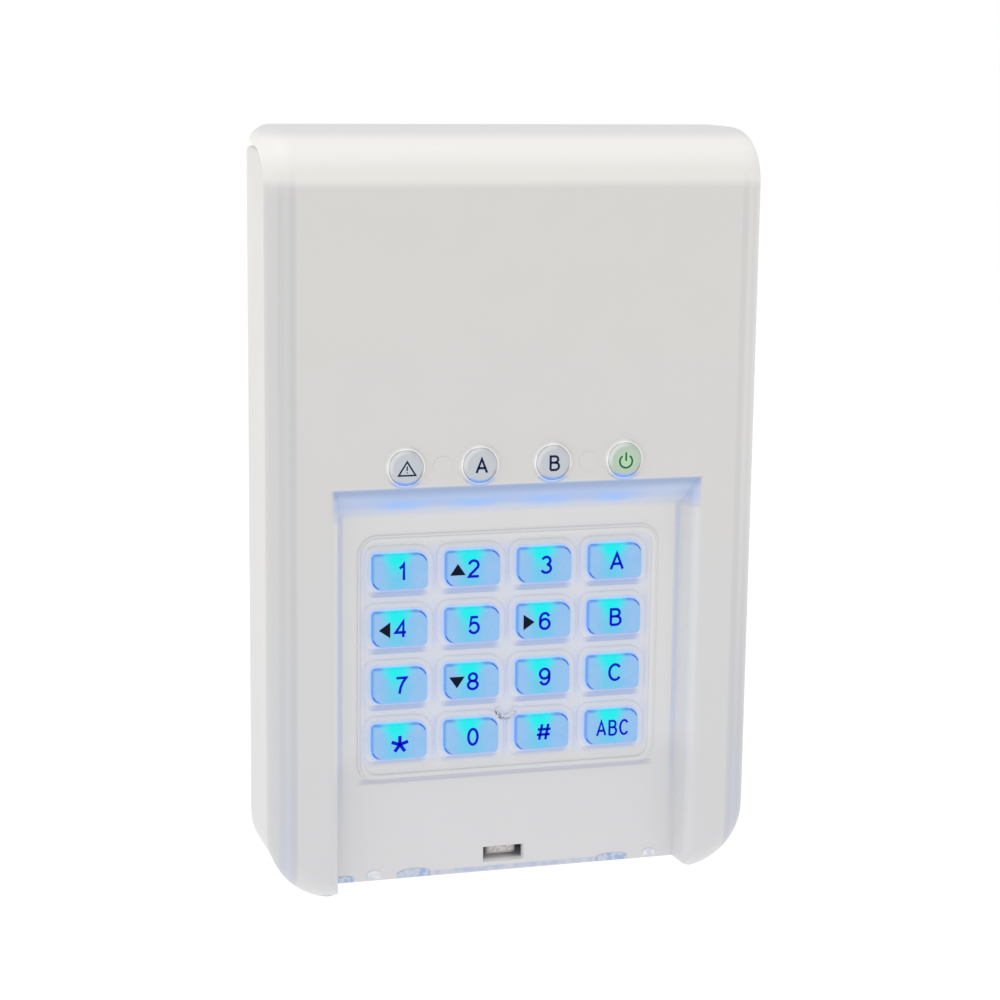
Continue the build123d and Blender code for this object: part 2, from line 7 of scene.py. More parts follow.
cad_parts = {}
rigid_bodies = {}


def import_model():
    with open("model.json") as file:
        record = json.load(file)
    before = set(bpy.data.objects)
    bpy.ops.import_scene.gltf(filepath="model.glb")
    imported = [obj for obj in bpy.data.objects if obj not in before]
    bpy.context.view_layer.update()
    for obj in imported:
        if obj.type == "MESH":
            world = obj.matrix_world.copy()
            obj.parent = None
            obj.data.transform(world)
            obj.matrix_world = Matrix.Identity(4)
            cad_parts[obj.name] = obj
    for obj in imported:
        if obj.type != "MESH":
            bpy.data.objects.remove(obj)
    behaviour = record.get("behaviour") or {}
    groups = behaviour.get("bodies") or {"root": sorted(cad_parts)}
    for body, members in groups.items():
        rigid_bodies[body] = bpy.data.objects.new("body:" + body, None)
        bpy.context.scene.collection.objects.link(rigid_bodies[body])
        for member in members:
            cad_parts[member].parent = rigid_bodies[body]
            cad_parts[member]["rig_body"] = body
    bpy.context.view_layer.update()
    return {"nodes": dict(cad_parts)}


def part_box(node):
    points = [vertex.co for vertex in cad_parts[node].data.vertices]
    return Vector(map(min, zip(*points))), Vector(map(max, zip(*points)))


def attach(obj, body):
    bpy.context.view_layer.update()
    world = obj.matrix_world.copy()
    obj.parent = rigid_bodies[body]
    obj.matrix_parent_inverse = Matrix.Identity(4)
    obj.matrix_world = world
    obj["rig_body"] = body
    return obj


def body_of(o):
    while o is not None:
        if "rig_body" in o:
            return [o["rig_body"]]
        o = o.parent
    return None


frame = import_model()

MM = 0.001
scene = bpy.context.scene
nodes = frame["nodes"]

KEYS = [
    "key_1", "key_2", "key_3", "key_a",
    "key_4", "key_5", "key_6", "key_b",
    "key_7", "key_8", "key_9", "key_c",
    "key_star", "key_0", "key_hash", "key_abc",
]
LENSES = ["lens_warning", "lens_a", "lens_b", "lens_power"]


# ---- camera and light ---------------------------------------------------------------------------
CAMERA_YAW = math.radians(16.47)
CAMERA_PITCH = math.radians(10.81)
CAMERA_ROLL = math.radians(0.72)
CAMERA_PLACE = Vector((-154.9, -534.4, 105.5)) * MM
SENSOR = 36.0
LENS = 88.5
FLOOR_Z = -0.35
FLOOR_SIZE = 300.0
ROOM_LIGHT = 0.74


def make_camera():
    data = bpy.data.cameras.new("camera")
    data.sensor_width = SENSOR
    data.lens = LENS
    data.clip_start = 0.01
    data.clip_end = 600
    camera = bpy.data.objects.new("camera", data)
    scene.collection.objects.link(camera)
    turn = (
        Matrix.Rotation(-CAMERA_YAW, 4, "Z")
        @ Matrix.Rotation(math.radians(90) - CAMERA_PITCH, 4, "X")
        @ Matrix.Rotation(CAMERA_ROLL, 4, "Z")
    )
    camera.matrix_world = Matrix.Translation(CAMERA_PLACE) @ turn
    scene.camera = camera


def make_light(name, place, size, watts):
    """A square soft box at place, facing the middle of the object."""
    data = bpy.data.lights.new(name, "AREA")
    data.size = size
    data.energy = watts
    light = bpy.data.objects.new(name, data)
    light.location = place
    light.rotation_euler = (-Vector(place)).to_track_quat("-Z", "Y").to_euler()
    scene.collection.objects.link(light)


def make_studio():
    """A white room of even light, a pale floor under the object, and one large soft box."""
    world = bpy.data.worlds.new("studio")
    world.use_nodes = True
    tree = world.node_tree
    background = tree.nodes["Background"]
    background.inputs["Color"].default_value = (1, 1, 1, 1)
    seen = tree.nodes.new("ShaderNodeLightPath")
    strength = tree.nodes.new("ShaderNodeMapRange")
    strength.inputs["To Min"].default_value = ROOM_LIGHT
    strength.inputs["To Max"].default_value = 1.0
    tree.links.new(seen.outputs["Is Camera Ray"], strength.inputs["Value"])
    tree.links.new(strength.outputs["Result"], background.inputs["Strength"])
    scene.world = world
    scene.view_settings.view_transform = "Standard"

    bpy.ops.mesh.primitive_plane_add(size=FLOOR_SIZE, location=(0, 0, FLOOR_Z))
    floor = bpy.context.object
    floor.name = "floor"
    floor.data.materials.append(pale_floor())
    make_light("soft_box", (-0.85, -0.42, 2.0), 1.2, 7.5)


# ---- shader graphs ------------------------------------------------------------------------------
class Graph:
    """A material's node tree, whose values are sockets and whose lengths are millimetres."""

    def __init__(self, name):
        self.material = bpy.data.materials.new(name)
        self.material.use_nodes = True
        self.tree = self.material.node_tree
        self.tree.nodes.clear()
        output = self.tree.nodes.new("ShaderNodeOutputMaterial")
        self.bsdf = self.tree.nodes.new("ShaderNodeBsdfPrincipled")
        self.tree.links.new(self.bsdf.outputs[0], output.inputs[0])
        coords = self.tree.nodes.new("ShaderNodeTexCoord")
        self.at = self.scaled(coords.outputs["Object"], 1 / MM)
        self.generated = self.split(coords.outputs["Generated"])
        self.x, self.y, self.z = self.split(self.at)

    def put(self, socket, value):
        if isinstance(value, bpy.types.NodeSocket):
            self.tree.links.new(value, socket)
        elif isinstance(value, tuple) and len(value) == 3 and socket.type == "RGBA":
            socket.default_value = (*value, 1)
        else:
            socket.default_value = value

    def node(self, kind, values=(), **settings):
        made = self.tree.nodes.new(kind)
        for name, setting in settings.items():
            setattr(made, name, setting)
        for socket, value in zip(made.inputs, values):
            self.put(socket, value)
        return made

    def scaled(self, vector, factor):
        made = self.node("ShaderNodeVectorMath", [vector], operation="SCALE")
        made.inputs["Scale"].default_value = factor
        return made.outputs[0]

    def split(self, vector):
        return self.node("ShaderNodeSeparateXYZ", [vector]).outputs[:3]

    def math(self, operation, *values):
        return self.node("ShaderNodeMath", values, operation=operation).outputs[0]

    def far(self, value, centre):
        """Distance of a value from a centre."""
        return self.math("ABSOLUTE", self.math("SUBTRACT", value, centre))

    def radius(self, x, z):
        """Distance from a line along Y through (x, z)."""
        return self.length(self.math("SUBTRACT", self.x, x), self.math("SUBTRACT", self.z, z))

    def length(self, across, up):
        squares = self.math("ADD", self.math("MULTIPLY", across, across), self.math("MULTIPLY", up, up))
        return self.math("SQRT", squares)

    def ramp(self, value, low, high):
        """0 at low, 1 at high, smooth between; low may be above high."""
        if low > high:
            return self.math("SUBTRACT", 1.0, self.ramp(value, high, low))
        made = self.node("ShaderNodeMapRange", interpolation_type="SMOOTHSTEP")
        for socket, number in zip(made.inputs, (value, low, high, 0.0, 1.0)):
            self.put(socket, number)
        return made.outputs[0]

    def band(self, value, low, high, soft):
        """1 between low and high, falling to 0 over soft on both sides."""
        return self.times(self.ramp(value, low - soft, low), self.ramp(value, high + soft, high))

    def times(self, first, *others):
        for other in others:
            first = self.math("MULTIPLY", first, other)
        return first

    def most(self, first, *others):
        for other in others:
            first = self.math("MAXIMUM", first, other)
        return first

    def mix(self, factor, first, second):
        made = self.tree.nodes.new("ShaderNodeMix")
        made.data_type = "RGBA"
        self.put(made.inputs["Factor"], factor)
        self.put(made.inputs[6], first)
        self.put(made.inputs[7], second)
        return made.outputs[2]

    def noise(self, size, detail=3.0):
        """Cloudy noise whose lumps are about size across."""
        made = self.node("ShaderNodeTexNoise", [self.at])
        made.inputs["Scale"].default_value = 1 / size
        made.inputs["Detail"].default_value = detail
        return made.outputs[0]

    def spread(self, value, low, high):
        """A value of 0 to 1 as one from low to high."""
        made = self.node("ShaderNodeMapRange")
        for socket, number in zip(made.inputs, (value, 0.0, 1.0, low, high)):
            self.put(socket, number)
        return made.outputs[0]

    def bump(self, height, depth):
        """Relief of that depth, from a height of 0 to 1."""
        made = self.tree.nodes.new("ShaderNodeBump")
        made.inputs["Strength"].default_value = 1.0
        made.inputs["Distance"].default_value = depth * MM
        self.put(made.inputs["Height"], height)
        self.put(self.bsdf.inputs["Normal"], made.outputs[0])

    def finish(self, colour, roughness, **constants):
        self.put(self.bsdf.inputs["Base Color"], colour)
        self.put(self.bsdf.inputs["Roughness"], roughness)
        for name, value in constants.items():
            self.bsdf.inputs[name.replace("_", " ")].default_value = value
        return self.material


def display(red, green, blue):
    """A colour given as 0 to 255 display values, as the linear values that shaders take."""
    def one(value):
        value /= 255
        return value / 12.92 if value <= 0.04045 else ((value + 0.055) / 1.055) ** 2.4
    return (one(red), one(green), one(blue))


def shade(colour, amount):
    return tuple(channel * amount for channel in colour)


def pale_floor():
    graph = Graph("pale_floor")
    tone = graph.mix(graph.noise(300.0), (0.86, 0.86, 0.86), (0.9, 0.9, 0.9))
    return graph.finish(tone, 0.9, Emission_Color=(1, 1, 1, 1), Emission_Strength=0.35)


def plastic(name, colour, roughness=0.42, grain=0.5, depth=0.01, spread=0.04, **constants):
    """Moulded plastic: a fine spark-eroded grain, slight clouding and uneven gloss."""
    graph = Graph(name)
    tone = graph.mix(graph.noise(9.0), shade(colour, 1 - spread), shade(colour, 1 + spread))
    gloss = graph.spread(graph.noise(2.0), roughness - 0.08, roughness + 0.08)
    graph.bump(graph.noise(grain), depth)
    return graph.finish(tone, gloss, **constants)


def dress(material, *names):
    for name in names:
        slots = nodes[name].data.materials
        slots.clear()
        slots.append(material)


# ---- places, in millimetres, from the frame -----------------------------------------------------
def span(node):
    low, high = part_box(node)
    return Vector(low) / MM, Vector(high) / MM


def centre(node):
    low, high = span(node)
    return (low + high) / 2


cover_low, cover_high = span("front_cover")
FACE = -27.0
FLOOR = -20.3
TOP_ROUND = 12.0
COVER_HALF = (cover_high.x - cover_low.x) / 2
LEDGE_FOOT = 0.9
LEDGE_TOP = LEDGE_FOOT + FLOOR - FACE
RECESS_HALF = 40.0
SIDE_ROUND = 5.0
SLOT_Z = -79.0
key_low, key_high = span("key_1")
KEY_FACE = key_low.y
KEY_BODY = (key_high.x - key_low.x, key_high.z - key_low.z)
KEY_FLANGE = 1.6
KEY_CAP = (KEY_BODY[0] - KEY_FLANGE, KEY_BODY[1] - KEY_FLANGE)
LENS_FACE = span("lens_a")[0].y
ICON_BACK = LENS_FACE + 0.02
LENS_RADIUS = 3.8
LENS_ROW_HALF = 33.0
CHIP_HALF = 5.0
REGULATOR_HALF = 3.35
FIELD_LOW = (span("key_star")[0].x, span("key_star")[0].z)
FIELD_HIGH = (span("key_a")[1].x, span("key_a")[1].z)
PITCH = ((centre("key_3") - centre("key_2")).x, (centre("key_2") - centre("key_5")).z)


# ---- materials ----------------------------------------------------------------------------------
COOL_WHITE = display(214, 216, 222)
FACE_WHITE = display(221, 219, 216)
LEAK = display(186, 196, 226)


def painted_top_highlight(graph, tone):
    """The top round: a painted highlight, brighter than the flat face, with a crisp lower limit, and a
    greyer crest of painted shade.
    """
    start = cover_high.z - TOP_ROUND
    crest = cover_high.z
    tone = graph.mix(graph.ramp(graph.z, start - 0.9, start + 1.6), tone, display(240, 238, 233))
    tone = graph.mix(graph.ramp(graph.z, start + 2.0, start + 8.0), tone, display(254, 252, 248))
    return graph.mix(graph.ramp(graph.z, crest - 3.0, crest - 0.6), tone, display(236, 236, 238))


def down_sides(graph, tone, side, below_top):
    """Each side has painted shade, a little darker than the face, and painted blue key light low down,
    with two faint lines.
    """
    x, y, z = graph.x, graph.y, graph.z
    edge = COVER_HALF - SIDE_ROUND
    ahead_of_floor = graph.ramp(y, FLOOR + 1.0, FLOOR - 1.5)
    # painted shade: all down the left side, and low down on the right side
    flank = graph.times(graph.ramp(side, edge - 1.2, edge + 0.6), below_top)
    shaded = graph.most(graph.ramp(x, 10.0, -10.0), graph.ramp(z, 20.0, -60.0))
    flank = graph.times(flank, shaded)
    tone = graph.mix(graph.times(flank, 0.45), tone, display(203, 204, 206))
    lines = graph.most(
        graph.band(side, edge - 0.2, edge + 0.4, 0.8),
        graph.times(graph.band(side, COVER_HALF - 2.7, COVER_HALF - 2.2, 0.7), 0.7),
    )
    lines = graph.times(lines, below_top, ahead_of_floor, 0.2)
    tone = graph.mix(lines, tone, display(176, 180, 190))
    # painted blue key light low down on each side
    low_blue = graph.times(
        flank, graph.ramp(z, -20.0, -75.0), graph.ramp(side, COVER_HALF - 0.6, COVER_HALF - 2.5)
    )
    return graph.mix(graph.times(low_blue, 0.3), tone, display(192, 202, 226))


def round_keys(graph, tone, recess, column):
    """The floor round the keys takes up their light; gives the tone, that floor and the keys' gaps."""
    x, y, z = graph.x, graph.y, graph.z
    half_w, half_h = KEY_CAP[0] / 2, KEY_CAP[1] / 2
    first = centre("key_1").z
    field = graph.times(
        graph.band(x, FIELD_LOW[0], FIELD_HIGH[0], 2.5),
        graph.band(z, FIELD_LOW[1] + 1.0, FIELD_HIGH[1] - 0.5, 2.5),
        recess,
    )
    row = graph.math("PINGPONG", graph.math("SUBTRACT", z, first), PITCH[1] / 2)
    beside = graph.times(
        graph.ramp(column, half_w + 0.2, PITCH[0] / 2), graph.ramp(row, PITCH[1] / 2, half_h - 1.0)
    )
    tone = graph.mix(graph.times(field, 0.3), tone, LEAK)
    tone = graph.mix(graph.times(field, beside, 0.5), tone, display(190, 200, 228))
    # lavender shade on the cushion under each key
    under = graph.math("MODULO", graph.math("SUBTRACT", first + 5 * PITCH[1], z), PITCH[1])
    under = graph.times(
        graph.band(under, half_h + 0.6, half_h + 1.5, 0.5),
        graph.ramp(column, half_w + 1.0, half_w - 1.5),
    )
    tone = graph.mix(graph.times(field, under, 0.8), tone, display(158, 174, 212))
    # light in the gap between a key and its cushion
    gap = graph.times(
        graph.ramp(column, half_w + 0.42, half_w + 0.3),
        graph.ramp(row, half_h + 0.42, half_h + 0.3),
        graph.ramp(y, FLOOR - 0.85, FLOOR - 0.55),
        field,
    )
    return graph.mix(gap, tone, display(150, 178, 228)), field, gap


def over_ledge(graph, tone, recess, column):
    """The ledge over the keys, painted with the lamps' blue light, brightest over each column's lamp
    and with painted shade along its top; gives the tone and the ledge.
    """
    rise = graph.math("SUBTRACT", graph.z, LEDGE_FOOT)
    rise = graph.math("DIVIDE", rise, LEDGE_TOP - LEDGE_FOOT)
    ledge = graph.times(recess, graph.ramp(rise, -0.12, 0.1))
    ends = graph.ramp(graph.far(graph.x, -3.0), 40.0, 24.0)
    tone = graph.mix(graph.times(ledge, 0.85), tone, display(196, 202, 220))
    middle = graph.times(ledge, graph.ramp(rise, 0.12, 0.42), graph.spread(ends, 0.5, 1.0))
    tone = graph.mix(middle, tone, display(172, 190, 224))
    # painted shade along the top of the ledge
    top = graph.times(ledge, graph.ramp(rise, 0.6, 0.95), 0.9)
    tone = graph.mix(top, tone, display(150, 165, 198))
    lamp = graph.times(graph.ramp(column, PITCH[0] / 2, 0.5), graph.band(rise, 0.3, 0.42, 0.22))
    lamp = graph.times(lamp, ledge, ends, graph.noise(1.6))
    return graph.mix(lamp, tone, display(140, 190, 255)), ledge


def along_edges(graph, tone, recess):
    """Thin lines of light and shade along the recess's cheeks, plateau, lower edge and feet."""
    x, y, z = graph.x, graph.y, graph.z
    from_middle = graph.far(x, 0.0)
    cheek = graph.times(
        graph.band(from_middle, RECESS_HALF - 1.1, RECESS_HALF - 0.4, 0.5),
        recess,
        graph.ramp(z, -84.0, -40.0),
        graph.ramp(z, LEDGE_FOOT + 2.0, LEDGE_FOOT - 1.0),
    )
    tone = graph.mix(graph.times(cheek, 0.5), tone, display(176, 190, 224))
    # painted blue light: clear plastic shows blue along the lower edge of the recess floor
    hem = graph.times(
        graph.band(graph.far(x, 1.0), 0.0, 19.0, 1.5),
        graph.band(z, -82.6, -81.9, 0.35),
        graph.ramp(y, FACE + 4.0, FLOOR - 1.0),
        graph.spread(graph.ramp(graph.noise(2.2), 0.42, 0.6), 0.45, 1.0),
    )
    tone = graph.mix(graph.times(hem, 0.6), tone, display(160, 180, 222))
    # the shaded lower edge of the plateau under the keys
    plateau_foot = FIELD_LOW[1] - 4.6
    shaded = graph.times(
        graph.band(x, FIELD_LOW[0] - 0.5, FIELD_HIGH[0] + 2.0, 2.0),
        graph.band(z, plateau_foot - 0.3, plateau_foot + 0.5, 0.5),
        recess,
    )
    tone = graph.mix(graph.times(shaded, 0.55), tone, display(176, 182, 204))
    # blue glints at the tips of the two feet
    tips = graph.times(
        graph.band(from_middle, RECESS_HALF + 1.5, RECESS_HALF + 5.0, 0.8),
        graph.ramp(z, -83.3, -84.2),
        graph.ramp(graph.noise(1.2), 0.4, 0.6),
    )
    return graph.mix(graph.times(tips, 0.7), tone, display(128, 152, 212))


def round_lenses(graph, tone, side):
    """Bright and blue glints on the rings round the lenses; gives the tone and the lenses' gaps."""
    left_of_first = centre("lens_warning").x - 2.5 * PITCH[0]
    across = graph.math("MODULO", graph.math("SUBTRACT", graph.x, left_of_first), PITCH[0])
    across = graph.math("SUBTRACT", across, PITCH[0] / 2)
    up = graph.math("SUBTRACT", graph.z, centre("lens_a").z)
    reach = graph.length(across, up)
    near = graph.ramp(side, LENS_ROW_HALF + 1.0, LENS_ROW_HALF - 1.0)
    ring = graph.times(graph.band(reach, LENS_RADIUS + 0.2, LENS_RADIUS + 0.8, 0.25), near)
    upper_left = graph.ramp(graph.math("SUBTRACT", up, across), 1.5, 5.0)
    lower = graph.ramp(up, -2.4, -3.6)
    tone = graph.mix(graph.times(ring, upper_left, 0.7), tone, display(240, 240, 240))
    tone = graph.mix(graph.times(ring, lower, 0.55), tone, display(150, 186, 240))
    # painted light in the gap round a lens, weaker where it crosses the falling diagonal
    diagonal = graph.ramp(graph.far(graph.math("ADD", across, up), 0.0), 3.2, 1.6)
    gap = graph.times(graph.ramp(reach, LENS_RADIUS + 0.45, LENS_RADIUS + 0.3), near)
    gap = graph.times(gap, graph.ramp(graph.far(up, 0.0), 6.0, 5.0), graph.spread(diagonal, 1.0, 0.35))
    return tone, gap


def at_nick(graph, tone, recess):
    """A nick in the plastic below the middle keys, darker at its left."""
    x = (centre("key_8").x + centre("key_9").x) / 2
    z = centre("key_0").z + KEY_CAP[1] / 2 + 1.4
    arc = graph.band(graph.radius(x, z), 1.7, 2.4, 0.2)
    lower_half = graph.ramp(graph.z, z + 0.4, z - 0.6)
    arc = graph.times(arc, lower_half, graph.ramp(graph.noise(0.5), 0.38, 0.55))
    darker_left = graph.spread(graph.ramp(graph.x, x + 1.5, x - 1.5), 0.35, 0.8)
    return graph.mix(graph.times(arc, recess, darker_left), tone, display(96, 98, 128))


def cover_material():
    """Frosted cover: milky plastic that the key lights tint blue round the recess."""
    graph = Graph("frosted_cover")
    x, y, z = graph.x, graph.y, graph.z
    tone = graph.mix(graph.noise(14.0), shade(FACE_WHITE, 0.985), shade(FACE_WHITE, 1.015))
    tone = graph.mix(graph.times(graph.ramp(z, 60.0, -70.0), 0.5), tone, COOL_WHITE)

    side = graph.far(x, (cover_low.x + cover_high.x) / 2)
    top_start = cover_high.z - TOP_ROUND
    below_top = graph.ramp(z, top_start + 4.0, top_start - 4.0)
    recess = graph.times(
        graph.ramp(graph.far(x, 0.0), RECESS_HALF + 3.6, RECESS_HALF + 1.2),
        graph.ramp(z, LEDGE_TOP + 1.2, LEDGE_TOP + 0.1),
        graph.ramp(y, FACE + 0.02, FACE + 0.5),
    )
    column = graph.math("PINGPONG", graph.math("SUBTRACT", x, centre("key_1").x), PITCH[0] / 2)

    # painted highlight and painted shade over the top round
    tone = painted_top_highlight(graph, tone)
    tone = down_sides(graph, tone, side, below_top)
    tone, field, key_gap = round_keys(graph, tone, recess, column)
    tone, ledge = over_ledge(graph, tone, recess, column)
    tone = along_edges(graph, tone, recess)
    tone, lens_gap = round_lenses(graph, tone, side)
    tone = at_nick(graph, tone, recess)

    # a painted glow of light that comes through: the right flank stands to the light, and the slot's
    # walls are thin
    bright_side = graph.ramp(x, COVER_HALF - 6.0, COVER_HALF - 2.0)
    bright_side = graph.times(bright_side, below_top, graph.ramp(z, -60.0, 20.0))
    slot = graph.times(
        graph.band(graph.far(x, centre("latch_lever").x), 0.0, 5.0, 0.3),
        graph.band(graph.far(z, SLOT_Z), 0.0, 2.0, 0.3),
        graph.ramp(y, FLOOR + 0.02, FLOOR + 0.3),
    )
    low_recess = graph.spread(graph.ramp(z, FIELD_LOW[1] + 4.0, FIELD_LOW[1] - 4.0), 0.1, 0.03)
    light = graph.most(
        graph.times(recess, low_recess),
        graph.times(field, 0.15),
        graph.times(ledge, 0.12),
        graph.times(key_gap, 0.6),
        graph.times(slot, 0.2),
        graph.times(lens_gap, 0.3),
        graph.times(bright_side, 0.06),
    )
    graph.put(graph.bsdf.inputs["Emission Color"], tone)
    graph.put(graph.bsdf.inputs["Emission Strength"], light)
    graph.bump(graph.noise(0.45), 0.006)
    return graph.finish(tone, graph.spread(graph.noise(3.0), 0.38, 0.5), Specular_IOR_Level=0.4)


def tray_material():
    """Rear tray: opaque white plastic, a little cooler towards its foot."""
    graph = Graph("tray_plastic")
    tone = graph.mix(graph.ramp(graph.z, 70.0, -80.0), display(238, 236, 232), display(228, 228, 229))
    tone = graph.mix(graph.times(graph.noise(11.0), 0.5), tone, display(222, 220, 216))
    graph.bump(graph.noise(0.4), 0.008)
    return graph.finish(tone, graph.spread(graph.noise(2.5), 0.4, 0.55))


def key_material():
    """A key cap lit from behind by a lamp above its middle."""
    graph = Graph("key_blue")
    across = graph.math("MULTIPLY", graph.math("SUBTRACT", graph.generated[0], 0.5), KEY_BODY[0])
    up = graph.math("MULTIPLY", graph.math("SUBTRACT", graph.generated[2], 0.5), KEY_BODY[1])
    half_w, half_h = KEY_CAP[0] / 2, KEY_CAP[1] / 2

    sides = graph.mix(graph.noise(3.0), display(140, 190, 240), display(156, 200, 242))
    middle = graph.ramp(graph.far(across, -0.5), 4.6, 0.4)
    tone = graph.mix(middle, sides, display(112, 204, 240))
    # a cone of cyan light that narrows downwards from the top edge
    width = graph.math("ADD", 2.3, graph.math("MULTIPLY", graph.ramp(up, 1.0, half_h), 1.7))
    cone = graph.ramp(graph.math("DIVIDE", graph.far(across, -0.7), width), 1.35, 0.2)
    cone = graph.times(cone, graph.ramp(up, -1.8, 2.6))
    tone = graph.mix(cone, tone, display(18, 240, 242))
    # painted shade: darker blue along the top and left edges, broken by the light
    rim = graph.most(
        graph.ramp(up, half_h - 0.75, half_h - 0.15),
        graph.times(graph.ramp(across, 0.8 - half_w, 0.1 - half_w), 0.8),
    )
    rim = graph.times(rim, graph.ramp(graph.far(across, -0.7), 2.2, 4.2))
    tone = graph.mix(graph.times(rim, 0.75), tone, display(88, 146, 232))
    # dark crescents inside the two wide corners
    for side in (-1, 1):
        corner_x = side * (half_w - 2.6)
        corner_z = side * (half_h - 2.6)
        off_x = graph.math("MULTIPLY", graph.math("SUBTRACT", across, corner_x), float(side))
        off_z = graph.math("MULTIPLY", graph.math("SUBTRACT", up, corner_z), float(side))
        reach = graph.length(off_x, off_z)
        arc = graph.times(
            graph.band(reach, 2.3, 2.5, 0.14), graph.ramp(off_x, 0.5, 1.1), graph.ramp(off_z, 0.5, 1.1)
        )
        tone = graph.mix(graph.times(arc, 0.85), tone, display(36, 84, 206))
    foot = graph.ramp(up, 0.7 - half_h, -half_h)
    tone = graph.mix(graph.times(foot, 0.8), tone, display(166, 186, 236))
    front = graph.ramp(graph.y, KEY_FACE + 1.3, KEY_FACE + 0.6)
    tone = graph.mix(front, display(158, 190, 238), tone)

    body = graph.scaled(tone, 0.5)
    graph.put(graph.bsdf.inputs["Emission Color"], tone)
    graph.put(graph.bsdf.inputs["Emission Strength"], graph.spread(front, 0.85, 0.5))
    graph.bump(graph.noise(0.6), 0.003)
    gloss = graph.spread(graph.noise(1.5), 0.22, 0.34)
    return graph.finish(body, gloss, Specular_IOR_Level=0.25)


def lens_material(name, body, light, glow):
    """A round lens: pale and cloudy, with a painted highlight on its top left rim, painted shade in an
    arc at its lower right and a painted blue reflection along its foot.
    """
    graph = Graph(name)
    width = 2 * (LENS_RADIUS + 0.9)
    across = graph.math("MULTIPLY", graph.math("SUBTRACT", graph.generated[0], 0.5), width)
    up = graph.math("MULTIPLY", graph.math("SUBTRACT", graph.generated[2], 0.5), width)
    reach = graph.length(across, up)
    tone = graph.mix(graph.ramp(reach, 3.2, 0.4), body, light)
    tone = graph.mix(graph.times(graph.noise(2.0), 0.25), tone, shade(body, 0.94))
    # painted highlight on the upper left of the rim
    rim = graph.ramp(reach, LENS_RADIUS - 1.0, LENS_RADIUS - 0.3)
    upper_left = graph.ramp(graph.math("SUBTRACT", up, across), 1.0, 4.5)
    tone = graph.mix(graph.times(rim, upper_left, 0.55), tone, display(236, 238, 238))
    # painted shade in an arc on the lower right of the rim
    dark = graph.times(
        graph.band(reach, LENS_RADIUS - 0.45, LENS_RADIUS - 0.15, 0.25),
        graph.ramp(graph.far(graph.math("ADD", across, up), 0.0), 3.4, 1.6),
    )
    dark = graph.times(dark, graph.ramp(upper_left, 0.4, 0.0), 0.5)
    tone = graph.mix(dark, tone, display(120, 124, 140))
    # painted blue reflection along the foot of the rim
    foot = graph.times(rim, graph.ramp(up, -2.2, -3.4))
    tone = graph.mix(graph.times(foot, 0.9), tone, display(110, 164, 244))
    # the lens glows in its own tone by glow; on the unlit lenses this glow is painted light
    graph.put(graph.bsdf.inputs["Emission Color"], tone)
    graph.bump(graph.noise(0.8), 0.004)
    gloss = graph.spread(graph.noise(2.0), 0.18, 0.3)
    return graph.finish(tone, gloss, Emission_Strength=glow, Specular_IOR_Level=0.5)


def ink(name, colour, light):
    """Printed ink: slightly uneven and matt, with a painted glow of the colour light."""
    graph = Graph(name)
    tone = graph.mix(graph.noise(0.8), shade(colour, 0.85), shade(colour, 1.2))
    graph.bump(graph.noise(0.3), 0.002)
    glow = {"Emission_Color": (*light, 1), "Emission_Strength": 1.0}
    return graph.finish(tone, graph.spread(graph.noise(0.6), 0.5, 0.7), Specular_IOR_Level=0.1, **glow)


def board_material():
    """Green circuit board with straight tracks and rows of tinned holes."""
    graph = Graph("board")
    green, track, tin = display(22, 92, 58), display(40, 124, 80), (0.62, 0.62, 0.6)
    track_gap, hole_gap = 0.75, 2.5
    region = graph.noise(20.0)
    upright = graph.ramp(graph.math("PINGPONG", graph.x, track_gap), 0.5, 0.58)
    upright = graph.times(upright, graph.ramp(region, 0.5, 0.51))
    level = graph.ramp(graph.math("PINGPONG", graph.z, track_gap), 0.5, 0.58)
    level = graph.times(level, graph.ramp(region, 0.47, 0.46))
    copper = graph.most(upright, level)
    hole = graph.length(
        graph.math("SUBTRACT", graph.math("PINGPONG", graph.x, hole_gap), hole_gap / 2),
        graph.math("SUBTRACT", graph.math("PINGPONG", graph.z, hole_gap), hole_gap / 2),
    )
    holes = graph.times(graph.ramp(hole, 0.5, 0.42), graph.ramp(graph.noise(13.0), 0.53, 0.54))
    tone = graph.mix(graph.noise(30.0), green, shade(green, 1.15))
    tone = graph.mix(copper, tone, track)
    tone = graph.mix(holes, tone, tin)
    graph.put(graph.bsdf.inputs["Metallic"], holes)
    graph.bump(graph.most(copper, holes), 0.03)
    return graph.finish(tone, graph.spread(graph.noise(1.0), 0.3, 0.4))


def steel(name, colour=(0.62, 0.61, 0.59), rough=0.3):
    """Turned or drawn metal with a fine grain and dull patches."""
    graph = Graph(name)
    tone = graph.mix(graph.noise(1.5), shade(colour, 0.85), shade(colour, 1.1))
    graph.bump(graph.noise(0.15), 0.004)
    return graph.finish(tone, graph.spread(graph.noise(0.8), rough - 0.08, rough + 0.12), Metallic=1.0)


def can_material():
    """Capacitor cans: a printed sleeve and a bare aluminium end."""
    graph = Graph("can_aluminium")
    back = span("capacitors")[1].y
    end = graph.ramp(graph.y, back - 0.7, back - 0.35)
    tone = graph.mix(graph.noise(1.2), (0.55, 0.55, 0.56), (0.68, 0.68, 0.69))
    sleeve = graph.mix(graph.noise(4.0), display(24, 26, 34), display(34, 38, 48))
    colour = graph.mix(end, sleeve, tone)
    graph.put(graph.bsdf.inputs["Metallic"], end)
    graph.bump(graph.noise(0.3), 0.01)
    return graph.finish(colour, graph.spread(end, 0.45, 0.28))


